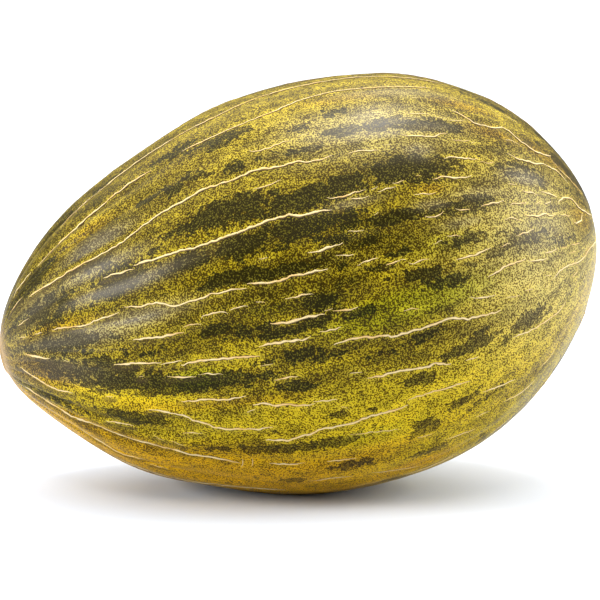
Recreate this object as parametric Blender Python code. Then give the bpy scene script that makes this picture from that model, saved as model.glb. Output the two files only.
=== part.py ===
"""Piel de sapo melon: a long green melon with a raised cork net, lying on the flat spot of its belly.

Blender 4.5 script, in metres, +Z up. X runs along the fruit, from the pointed stem end at -X to the
blunt blossom end at +X, which is the raised one. The origin is on the ground, under the middle of
the fruit's box. A station is a place along the fruit, from -1 at the stem to 1 at the blossom.
"""

import math
import random

import bmesh
import bpy
from mathutils import Matrix, Vector

MILLIMETRE = 0.001

# The fruit's form
LENGTH = 0.250                    # pole to pole
HALF_GIRTH = 0.0834               # radius at mid length
SWELL = (0.136, -0.035, 0.093, -0.131, -0.135)    # added to an ellipse, by powers of the station
BOW = 0.0023                      # rise of both poles over the straight centre line
TILT = math.radians(13.3)         # blossom end up, as the fruit comes to rest
WAVE_HEIGHT = 0.00045             # slow rise and fall of the lying fruit, along X
WAVE_LENGTH = 0.076
WAVE_TROUGH = -0.062              # its lowest place
WAVE_FADE = 22.0                  # share lost with each metre towards the blossom
FLAT_DEPTH = 0.0014               # how deep the belly is flattened where it rests

# Low ribs from pole to pole, highest on the shoulder at the stem, with a tract of cork between each two
RIB_HEIGHT = 0.0003               # along the whole fruit
SHOULDER_RIB_HEIGHT = 0.0010      # added on the stem's shoulder
SHOULDER_STATION = -0.78
SHOULDER_SPREAD = 0.36

# Tracts on the front: angles round the fruit in degrees at the stem, at mid length and at the blossom,
# from 0 at the top through 90 at the front, and the dashes of cork in millimetres from the stem
FRONT_TRACTS = (
    ((18, 9, 0), ((40, 205),)),
    ((33, 23, 8), ((23, 83), (91, 200))),
    ((40, 34, 30), ((98, 112), (118, 136), (200, 247))),
    ((49, 45, 43), ((16, 153), (160, 176), (183, 199))),
    ((60, 61, 60), ((53, 148), (157, 176), (203, 240))),
    ((74, 77, 72), ((27, 142), (178, 190), (205, 235))),
    ((84, 87, 86), ((55, 82), (115, 150), (191, 213))),
    ((92, 97, 103), ((12, 28), (50, 108), (137, 204))),
    ((104, 109, 115), ((60, 90), (105, 135), (147, 191))),
    ((116, 123, 121), ((45, 95), (102, 160), (167, 186))),
    ((124, 135, 139), ((9, 89), (98, 135))),
    ((138, 150, 152), ((30, 70), (120, 150))),
)

# Tracts on the hidden sides: evenly spread, with seeded shifts, sways and dashes
BACK_TRACTS = 16
BACK_FIRST, BACK_LAST = 163, 356  # degrees
BACK_SHIFT = 2.4                  # degrees either way
BACK_BEND = 6.0                   # degrees that the ends may lie off the middle
CORK_FIRST, CORK_LAST = 10, 240   # millimetres from the stem
STEM_DASHES = (45, 95)            # shortest and longest dash that starts near the stem
OTHER_DASHES = (15, 55)
STEM_DASHES_END = 60
GAPS = (8, 25)
NET_SEED = 23

# Shape of the raised cork
CORK_HEIGHT = 0.0012
CORK_HALF_WIDTH = 0.0015
CORK_SPAN_SHARE = 0.24            # largest half width near the poles, in tract spacings
DASH_FADE = 0.05                  # in stations
CORK_WANDER = 0.6                 # side steps from row to row, in half widths

# Scars at the poles: lift along the fruit of the rows of points, counted from the pole
STEM_SCAR = (-0.0018, -0.0007, 0.0006)
BLOSSOM_SCAR = (-0.0004, 0.0003)

# Grid of points on the rind
ROLES = ("left foot", "crest", "right foot", "rib top")    # the columns of one tract
TRACTS = len(FRONT_TRACTS) + BACK_TRACTS
TRACT_SPACING = 2.0 * math.pi / TRACTS
COLUMNS = TRACTS * len(ROLES)
ROWS = 46
ROW_CROWDING = 0.22               # rows stand closer at the poles

RIND_COLOUR = (0.205, 0.190, 0.030, 1.0)
RIND_ROUGHNESS = 0.42


def clear_objects():
    """Start from an empty scene."""
    for thing in list(bpy.data.objects):
        bpy.data.objects.remove(thing, do_unlink=True)


def rind_material():
    """Waxy olive green skin."""
    material = bpy.data.materials.new("rind")
    material.use_nodes = True
    shader = material.node_tree.nodes["Principled BSDF"]
    shader.inputs["Base Color"].default_value = RIND_COLOUR
    shader.inputs["Roughness"].default_value = RIND_ROUGHNESS
    shader.inputs["Metallic"].default_value = 0.0
    return material


def draw_dashes(draw):
    """Chance dashes of cork along a tract, in millimetres from the stem."""
    dashes = []
    start = CORK_FIRST + draw.uniform(*GAPS)
    while start < CORK_LAST:
        lengths = STEM_DASHES if start < STEM_DASHES_END else OTHER_DASHES
        end = min(start + draw.uniform(*lengths), CORK_LAST)
        dashes.append((start, end))
        start = end + draw.uniform(*GAPS)
    return dashes


def lay_tracts():
    """All tracts in their order round the fruit: three angles, the dashes and the cork's side steps."""
    draw = random.Random(NET_SEED)
    plans = list(FRONT_TRACTS)
    for index in range(BACK_TRACTS):
        share = index / (BACK_TRACTS - 1)
        middle = BACK_FIRST + share * (BACK_LAST - BACK_FIRST) + draw.uniform(-BACK_SHIFT, BACK_SHIFT)
        bend = draw.uniform(-BACK_BEND, BACK_BEND) * min(1.0, 4.0 * share * (1.0 - share))
        plans.append(((middle + bend, middle, middle - bend), draw_dashes(draw)))
    tracts = []
    for angles, dashes in plans:
        tracts.append({
            "angles": [math.radians(angle) for angle in angles],
            "dashes": [[2.0 * place * MILLIMETRE / LENGTH - 1.0 for place in dash] for dash in dashes],
            "steps": [draw.uniform(-CORK_WANDER, CORK_WANDER) for _ in range(ROWS + 1)],
        })
    return tracts


def tract_angle(tracts, index, station):
    """Angle of a tract round the fruit, 0 at the top and growing towards -Y."""
    turns, index = divmod(index, TRACTS)
    stem, middle, blossom = tracts[index]["angles"]
    bend = (blossom - stem) / 2.0 * station + ((blossom + stem) / 2.0 - middle) * station ** 2
    return middle + bend + turns * 2.0 * math.pi


def cork_share(tract, station):
    """How far the cork is raised here, from 0 between dashes to 1 along one."""
    share = 0.0
    for start, end in tract["dashes"]:
        share = max(share, min(1.0, (station - start) / DASH_FADE, (end - station) / DASH_FADE))
    return share


def roundness(station):
    """Radius at a station as a share of the largest, for a plain ellipse."""
    return math.sqrt(max(0.0, 1.0 - station ** 2))


def smooth_radius(station):
    """Radius of the fruit without its relief."""
    swell = sum(part * station ** power for power, part in enumerate(SWELL, start=1))
    return HALF_GIRTH * roundness(station) * (1.0 + swell)


def wave_height(along):
    """Rise of the lying fruit at a place along X, which keeps its outline from being too even."""
    wave = WAVE_HEIGHT * (1.0 - WAVE_FADE * along)
    return -wave * math.cos(2.0 * math.pi * (along - WAVE_TROUGH) / WAVE_LENGTH)


def rib_height(station):
    """Height of a rib's top over the tracts beside it."""
    shoulder = math.exp(-((station - SHOULDER_STATION) / SHOULDER_SPREAD) ** 2)
    return (RIB_HEIGHT + SHOULDER_RIB_HEIGHT * shoulder) * roundness(station)


def row_station(row):
    """Station of a row of points, with the rows crowded towards the poles."""
    share = row / ROWS
    crowded = share - ROW_CROWDING * math.sin(2.0 * math.pi * share) / (2.0 * math.pi)
    return -math.cos(math.pi * crowded)


def scar_lift(row):
    """Move along the fruit, outwards, of the rows on the two scars."""
    if row < len(STEM_SCAR):
        return -STEM_SCAR[row]
    if ROWS - row < len(BLOSSOM_SCAR):
        return BLOSSOM_SCAR[ROWS - row]
    return 0.0


def rind_point(tracts, row, column):
    """Place of one point of the grid, on a fruit that lies level with its middle at zero."""
    station = row_station(row)
    index, role = divmod(column, len(ROLES))
    tract = tracts[index]
    radius = smooth_radius(station)
    angle = tract_angle(tracts, index, station)
    if ROLES[role] == "rib top":
        angle = (angle + tract_angle(tracts, index + 1, station)) / 2.0
        radius += rib_height(station) / 2.0
    else:
        room = CORK_SPAN_SHARE * TRACT_SPACING
        half_width = min(CORK_HALF_WIDTH / max(radius, CORK_HALF_WIDTH), room)
        angle += (role - 1 + tract["steps"][row]) * half_width
        radius -= rib_height(station) / 2.0
        if ROLES[role] == "crest":
            radius += CORK_HEIGHT * cork_share(tract, station) * half_width * radius / CORK_HALF_WIDTH
    if row in (0, ROWS):
        radius = 0.0
    along = station * LENGTH / 2.0 + scar_lift(row)
    return Vector((along, -radius * math.sin(angle), radius * math.cos(angle) + BOW * station ** 2))


def shape_rind(shape):
    """Move the points of a unit ball onto the tilted fruit, and press its belly flat."""
    tracts = lay_tracts()
    tilt = Matrix.Rotation(-TILT, 3, "Y")
    belly = []
    for vert in shape.verts:
        polar = math.acos(max(-1.0, min(1.0, -vert.co.z)))
        row = round(polar / math.pi * ROWS)
        column = round(math.atan2(vert.co.y, vert.co.x) / (2.0 * math.pi) * COLUMNS) % COLUMNS
        vert.co = tilt @ rind_point(tracts, row, column)
        vert.co.z += wave_height(vert.co.x)
        if ROLES[column % len(ROLES)] != "crest":
            belly.append(vert.co.z)
    ground = min(belly) + FLAT_DEPTH
    middle = [(min(side) + max(side)) / 2.0 for side in zip(*(vert.co.xy for vert in shape.verts))]
    for vert in shape.verts:
        vert.co.x -= middle[0]
        vert.co.y -= middle[1]
        vert.co.z = max(0.0, vert.co.z - ground)


def build_melon(collection):
    """The whole fruit, one closed body."""
    shape = bmesh.new()
    bmesh.ops.create_uvsphere(shape, u_segments=COLUMNS, v_segments=ROWS, radius=1.0)
    shape_rind(shape)
    mesh = bpy.data.meshes.new("melon")
    shape.to_mesh(mesh)
    shape.free()
    mesh.shade_smooth()
    mesh.materials.append(rind_material())
    collection.objects.link(bpy.data.objects.new("melon", mesh))


def main():
    clear_objects()
    collection = bpy.data.collections.new("piel de sapo melon")
    bpy.context.scene.collection.children.link(collection)
    build_melon(collection)


main()
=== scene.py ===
import math
import random

import bmesh
import bpy
import numpy as np
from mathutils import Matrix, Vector, kdtree, noise
from mathutils.bvhtree import BVHTree


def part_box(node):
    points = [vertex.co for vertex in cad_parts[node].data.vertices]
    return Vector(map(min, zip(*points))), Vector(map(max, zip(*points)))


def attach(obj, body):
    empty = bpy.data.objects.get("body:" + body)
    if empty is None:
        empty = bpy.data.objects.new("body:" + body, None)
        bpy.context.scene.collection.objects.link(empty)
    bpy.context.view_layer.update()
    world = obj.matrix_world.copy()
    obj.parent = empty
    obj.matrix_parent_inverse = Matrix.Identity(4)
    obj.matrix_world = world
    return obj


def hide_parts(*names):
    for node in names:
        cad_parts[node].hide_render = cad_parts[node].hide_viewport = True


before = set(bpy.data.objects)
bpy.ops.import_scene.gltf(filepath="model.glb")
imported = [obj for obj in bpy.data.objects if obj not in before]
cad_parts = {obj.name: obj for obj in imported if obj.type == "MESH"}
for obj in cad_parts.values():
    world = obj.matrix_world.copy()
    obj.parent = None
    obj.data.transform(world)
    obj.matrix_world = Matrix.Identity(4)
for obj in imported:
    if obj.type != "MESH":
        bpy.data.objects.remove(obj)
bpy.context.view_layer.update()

millimetre = 0.001
tiny = 1e-6
fullTurn = 2.0 * math.pi

# The fruit. A station runs from -1 at the stem to 1 at the blossom; an angle round the fruit is
# 0 at the top, 90 degrees at the front and 180 at the belly.
fruit = {
    "length": 0.250,              # pole to pole
    "halfGirth": 0.0834,          # radius at mid length
    "swell": (0.136, -0.035, 0.093, -0.131, -0.135),    # added to an ellipse, by powers of the station
    "bow": 0.0023,                # rise of both poles over the straight centre line
    "tilt": math.radians(13.3),   # blossom end up
    "waveHeight": 0.00045,        # slow rise and fall of the lying fruit, along X
    "waveLength": 0.076,
    "waveTrough": -0.062,         # its lowest place
    "waveFade": 22.0,             # share lost with each metre towards the blossom
    "flatDepth": 0.0014,          # how deep the belly is flattened where it rests
    "columns": 400,
    "rows": 240,
}

# Low ribs from pole to pole, with a tract of cork between each two, as in the solid
tracts = {
    "ribHeight": 0.0003,          # along the whole fruit
    "shoulderHeight": 0.0015,     # added on the stem's shoulder
    "shoulderStation": -0.78,
    "shoulderSpread": 0.36,
    "furrowSharpness": 0.65,      # under 1 narrows the furrows
    "front": (                    # degrees at stem, middle and blossom
        (18, 9, 0), (33, 23, 8), (40, 34, 30), (49, 45, 43),
        (60, 61, 60), (74, 77, 72), (84, 87, 86), (92, 97, 103),
        (104, 109, 115), (116, 123, 121), (124, 135, 139), (138, 150, 152),
    ),
    "backCount": 16,              # spread over the hidden sides
    "backFirst": 163,             # degrees, as the next three are
    "backLast": 356,
    "backShift": 2.4,             # either way
    "backBend": 6.0,              # how far the ends may lie off the middle
    "corkFirst": 10,              # mm from the stem, as the lengths below are in mm
    "corkLast": 240,
    "stemDashes": (45, 95),       # shortest and longest that start near the stem
    "otherDashes": (15, 55),
    "stemDashesEnd": 60,
    "gaps": (8, 25),
    "seed": 23,
}

# Fine relief of the rind, and the two scars
relief = {
    "lumpHeight": 0.00050,        # broad unevenness under the hand
    "lumpSize": 0.030,
    "wrinkleHeight": 0.00022,     # fine wrinkles along the fruit
    "wrinkleSize": 0.0055,
    "wrinkleStretch": 7.0,
    "wrinkleOffset": 9.0,         # keeps the wrinkles apart from the lumps
    "poleFade": 2.0,              # how soon both fade in from the poles
    "poleRoundness": 1e-4,        # under this a point is on a pole
    "stemScarRadius": 0.0042,
    "stemScarDepth": 0.0016,
    "stemScarEdge": 1.5,          # in scar radii, as the next two are
    "collarPlace": 1.5,
    "collarSpread": 0.4,
    "collarHeight": 0.0006,
    "blossomPadRadius": 0.0055,
    "blossomPadDepth": 0.0004,
    "blossomPadEdge": (3.0, 2.5),
    "scarSharpness": 4,           # of the edge of both scars in the paint
}

# The camera stands where the photograph was taken from
view = {
    "elevation": math.radians(9.0),
    "distance": 1.40,
    "focalPixels": 3401.6,
    "imagePixels": 600,
    "fruitMiddle": (298.2, 292.2),    # pixel of the middle of the fruit's axis
    "sensorWidth": 36.0,
    "clip": (0.05, 60.0),
    "rimSteps": 12,               # most pixels that a point off the rim may move in
}
viewForward = Vector((0.0, math.cos(view["elevation"]), -math.sin(view["elevation"])))
viewUp = Vector((0.0, math.sin(view["elevation"]), math.cos(view["elevation"])))
viewRight = Vector((1.0, 0.0, 0.0))
pixelSize = view["distance"] / view["focalPixels"]    # on the fruit, in metres


# Form of the fruit

def roundness(station):
    return np.sqrt(np.maximum(0.0, 1.0 - station ** 2))


def smoothRadius(station):
    swell = sum(part * station ** power for power, part in enumerate(fruit["swell"], start=1))
    return fruit["halfGirth"] * roundness(station) * (1.0 + swell)


def passDashes(draw):
    # the solid draws the dashes of a tract here, so the same draws are passed over
    start = tracts["corkFirst"] + draw.uniform(*tracts["gaps"])
    while start < tracts["corkLast"]:
        lengths = tracts["stemDashes"] if start < tracts["stemDashesEnd"] else tracts["otherDashes"]
        end = min(start + draw.uniform(*lengths), tracts["corkLast"])
        start = end + draw.uniform(*tracts["gaps"])


def layTracts():
    # the angles of all tracts, in their order round the fruit
    draw = random.Random(tracts["seed"])
    plans = list(tracts["front"])
    for index in range(tracts["backCount"]):
        share = index / (tracts["backCount"] - 1)
        middle = tracts["backFirst"] + share * (tracts["backLast"] - tracts["backFirst"])
        middle += draw.uniform(-tracts["backShift"], tracts["backShift"])
        bend = draw.uniform(-tracts["backBend"], tracts["backBend"]) * min(1.0, 4.0 * share * (1.0 - share))
        plans.append((middle + bend, middle, middle - bend))
        passDashes(draw)
    return plans


def tractAngle(angles, station):
    stem, middle, blossom = (math.radians(angle) for angle in angles)
    return middle + (blossom - stem) / 2.0 * station + ((blossom + stem) / 2.0 - middle) * station ** 2


def ribLift(plans, station, angle):
    # height of the ribs over the furrows between them, at each place
    edges = np.stack([tractAngle(angles, station) for angles in plans], axis=1)
    edges = np.concatenate([edges[:, -1:] - fullTurn, edges, edges[:, :1] + fullTurn], axis=1)
    turned = np.where(angle >= edges[:, -1], angle - fullTurn, angle)
    cell = np.clip((turned[:, None] >= edges).sum(axis=1) - 1, 0, edges.shape[1] - 2)
    rows = np.arange(len(station))
    low, high = edges[rows, cell], edges[rows, cell + 1]
    across = np.clip((turned - low) / (high - low), 0.0, 1.0)
    shoulder = np.exp(-((station - tracts["shoulderStation"]) / tracts["shoulderSpread"]) ** 2)
    height = (tracts["ribHeight"] + tracts["shoulderHeight"] * shoulder) * roundness(station)
    return height * (np.sin(math.pi * across) ** tracts["furrowSharpness"] - 0.5)


def flowPlace(station, angle):
    # place on a straight cylinder round the fruit, so that patterns run along it and close round it
    girth = fruit["halfGirth"]
    along = station * fruit["length"] / 2.0
    return np.stack([along, girth * np.sin(angle), girth * np.cos(angle)], axis=1)


def unevenness(station, angle):
    flow = flowPlace(station, angle)
    lumps, wrinkles = relief["lumpSize"], relief["wrinkleSize"]
    lift = np.empty(len(station))
    for index, (along, side, rise) in enumerate(flow):
        lump = noise.noise(Vector((along / lumps, side / lumps, rise / lumps)))
        wrinkle = noise.noise(Vector((
            along / (wrinkles * relief["wrinkleStretch"]),
            side / wrinkles + relief["wrinkleOffset"], rise / wrinkles)))
        lift[index] = relief["lumpHeight"] * lump + relief["wrinkleHeight"] * wrinkle
    return lift * np.minimum(1.0, relief["poleFade"] * roundness(station))


def scarLift(station, radius):
    # lift along the fruit, outwards, of the two scars
    scar = relief["stemScarRadius"]
    collar = np.exp(-((radius - relief["collarPlace"] * scar) / (relief["collarSpread"] * scar)) ** 2)
    cup = np.clip(relief["stemScarEdge"] - radius / scar, 0.0, 1.0)
    stem = relief["collarHeight"] * collar - relief["stemScarDepth"] * cup
    edge, slope = relief["blossomPadEdge"]
    pad = np.clip(edge - slope * radius / relief["blossomPadRadius"], 0.0, 1.0)
    return np.where(station < 0.0, stem, -relief["blossomPadDepth"] * pad)


def levelPlace(station, angle, lift=0.0):
    # the fruit lying level, with its middle at zero
    radius = np.maximum(smoothRadius(station) + lift, 0.0)
    radius = np.where(roundness(station) < relief["poleRoundness"], 0.0, radius)
    along = station * fruit["length"] / 2.0 + np.sign(station) * scarLift(station, radius)
    rise = radius * np.cos(angle) + fruit["bow"] * station ** 2
    return np.stack([along, -radius * np.sin(angle), rise], axis=1)


def waveHeight(along):
    wave = fruit["waveHeight"] * (1.0 - fruit["waveFade"] * along)
    return -wave * np.cos(fullTurn * (along - fruit["waveTrough"]) / fruit["waveLength"])


def tiltFruit(places):
    cosine, sine = math.cos(fruit["tilt"]), math.sin(fruit["tilt"])
    along = places[:, 0] * cosine - places[:, 2] * sine
    rise = places[:, 0] * sine + places[:, 2] * cosine + waveHeight(along)
    return np.stack([along, places[:, 1], rise], axis=1)


def seatFruit(places):
    # the shift and the scale that seat the fruit on the ground and inside the solid's box
    low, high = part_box("melon")
    ground = places[:, 2].min() + fruit["flatDepth"]
    middle = (places.min(axis=0) + places.max(axis=0)) / 2.0
    shift = np.array([middle[0], middle[1], ground])
    size = places.max(axis=0) - places.min(axis=0)
    size[2] = places[:, 2].max() - ground
    scale = min(1.0, *((high[side] - low[side]) / size[side] for side in range(3)))
    return {"shift": shift, "scale": scale}


def toWorld(places, seat):
    world = (places - seat["shift"]) * seat["scale"]
    world[:, 2] = np.maximum(world[:, 2], 0.0)
    return world


def toRind(point, seat):
    # station and angle of a point of the finished rind
    along, side, rise = np.array(point) / seat["scale"] + seat["shift"]
    rise -= float(waveHeight(along))
    cosine, sine = math.cos(fruit["tilt"]), math.sin(fruit["tilt"])
    level = along * cosine + rise * sine
    height = rise * cosine - along * sine
    station = max(-1.0, min(1.0, 2.0 * level / fruit["length"]))
    return station, math.atan2(-side, height - fruit["bow"] * station ** 2)


def buildRind():
    shape = bmesh.new()
    bmesh.ops.create_uvsphere(shape, u_segments=fruit["columns"], v_segments=fruit["rows"], radius=1.0)
    mesh = bpy.data.meshes.new("rind")
    shape.to_mesh(mesh)
    shape.free()
    ball = np.empty(len(mesh.vertices) * 3)
    mesh.vertices.foreach_get("co", ball)
    ball = ball.reshape(-1, 3)
    station = np.clip(ball[:, 2], -1.0, 1.0)
    angle = np.arctan2(ball[:, 1], ball[:, 0]) % fullTurn
    lift = ribLift(layTracts(), station, angle) + unevenness(station, angle)
    places = tiltFruit(levelPlace(station, angle, lift))
    seat = seatFruit(places)
    mesh.vertices.foreach_set("co", toWorld(places, seat).ravel())
    mesh.update()
    mesh.shade_smooth()
    rind = bpy.data.objects.new("rind", mesh)
    bpy.context.scene.collection.objects.link(rind)
    return rind, station, angle, seat


rind, rindStation, rindAngle, seat = buildRind()
print("rind:", len(rind.data.vertices), "points, scale", round(seat["scale"], 4))


# Camera

def placeCamera():
    half = view["imagePixels"] / 2.0
    middle = Vector(-seat["shift"] * seat["scale"])
    spot = middle - viewForward * view["distance"]
    spot += viewRight * (half - view["fruitMiddle"][0]) * pixelSize
    spot -= viewUp * (half - view["fruitMiddle"][1]) * pixelSize
    data = bpy.data.cameras.new("camera")
    data.sensor_width = view["sensorWidth"]
    data.lens = view["focalPixels"] / view["imagePixels"] * view["sensorWidth"]
    data.clip_start, data.clip_end = view["clip"]
    camera = bpy.data.objects.new("camera", data)
    camera.rotation_euler = (math.pi / 2.0 - view["elevation"], 0.0, 0.0)
    camera.location = spot
    bpy.context.scene.collection.objects.link(camera)
    bpy.context.scene.camera = camera
    return spot


cameraSpot = placeCamera()


def rayThrough(pixel):
    half = view["imagePixels"] / 2.0
    side = (pixel[0] - half) / view["focalPixels"]
    rise = (half - pixel[1]) / view["focalPixels"]
    return (viewForward + viewRight * side + viewUp * rise).normalized()


rindTree = BVHTree.FromObject(rind, bpy.context.evaluated_depsgraph_get())


def onPixel(pixel):
    # the rind where the photograph shows it; a pixel just off the rim moves in until it meets it
    middle = Vector(view["fruitMiddle"])
    place = Vector(pixel)
    for step in range(view["rimSteps"]):
        point, normal = rindTree.ray_cast(cameraSpot, rayThrough(place))[:2]
        if point is not None:
            return point, normal
        place += (middle - place).normalized()
    return None


def onRind(station, angle):
    # the rind at a station and an angle
    along, bow = station * fruit["length"] / 2.0, fruit["bow"] * station ** 2
    ends = tiltFruit(np.array([[along, 0.0, bow], [along, -math.sin(angle), math.cos(angle) + bow]]))
    axis = Vector((ends[0] - seat["shift"]) * seat["scale"])
    outward = Vector(ends[1] - ends[0]).normalized()
    point, normal = rindTree.ray_cast(axis, outward)[:2]
    return (point, normal) if point is not None else None


# Cork cracks

cork = {
    "halfWidth": 0.00046,
    "flatness": 0.60,             # height of a crack's ridge over its half width
    "step": 0.0010,               # between points along a crack
    "taper": 0.005,
    "sideWander": 0.00060,
    "sideRun": 0.0024,
    "sideSlice": 9.0,             # keeps the sway of a crack apart from its width
    "widthWander": 0.60,
    "widthRun": 0.0022,
    "endShare": 0.25,             # width of a crack at its very ends
    "phases": (0.0, 100.0),       # lowest and highest start in the noise that sways a crack
    "sides": 1,                   # bevel resolution
    "haloWidth": 0.0016,
    "shadeOffset": 0.0015,        # of the painted shade line on the lower side of a crack
    "shadeWidth": 0.0010,
    "shadeSlope": 1.5,            # how soon it starts below the crack
    "shadeStations": (-0.05, -0.55),    # where it grows to full strength, towards the stem
    "shadeElsewhere": 0.25,
    "rimReach": 12,               # points either way that a crack on the rim is averaged over
}

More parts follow.
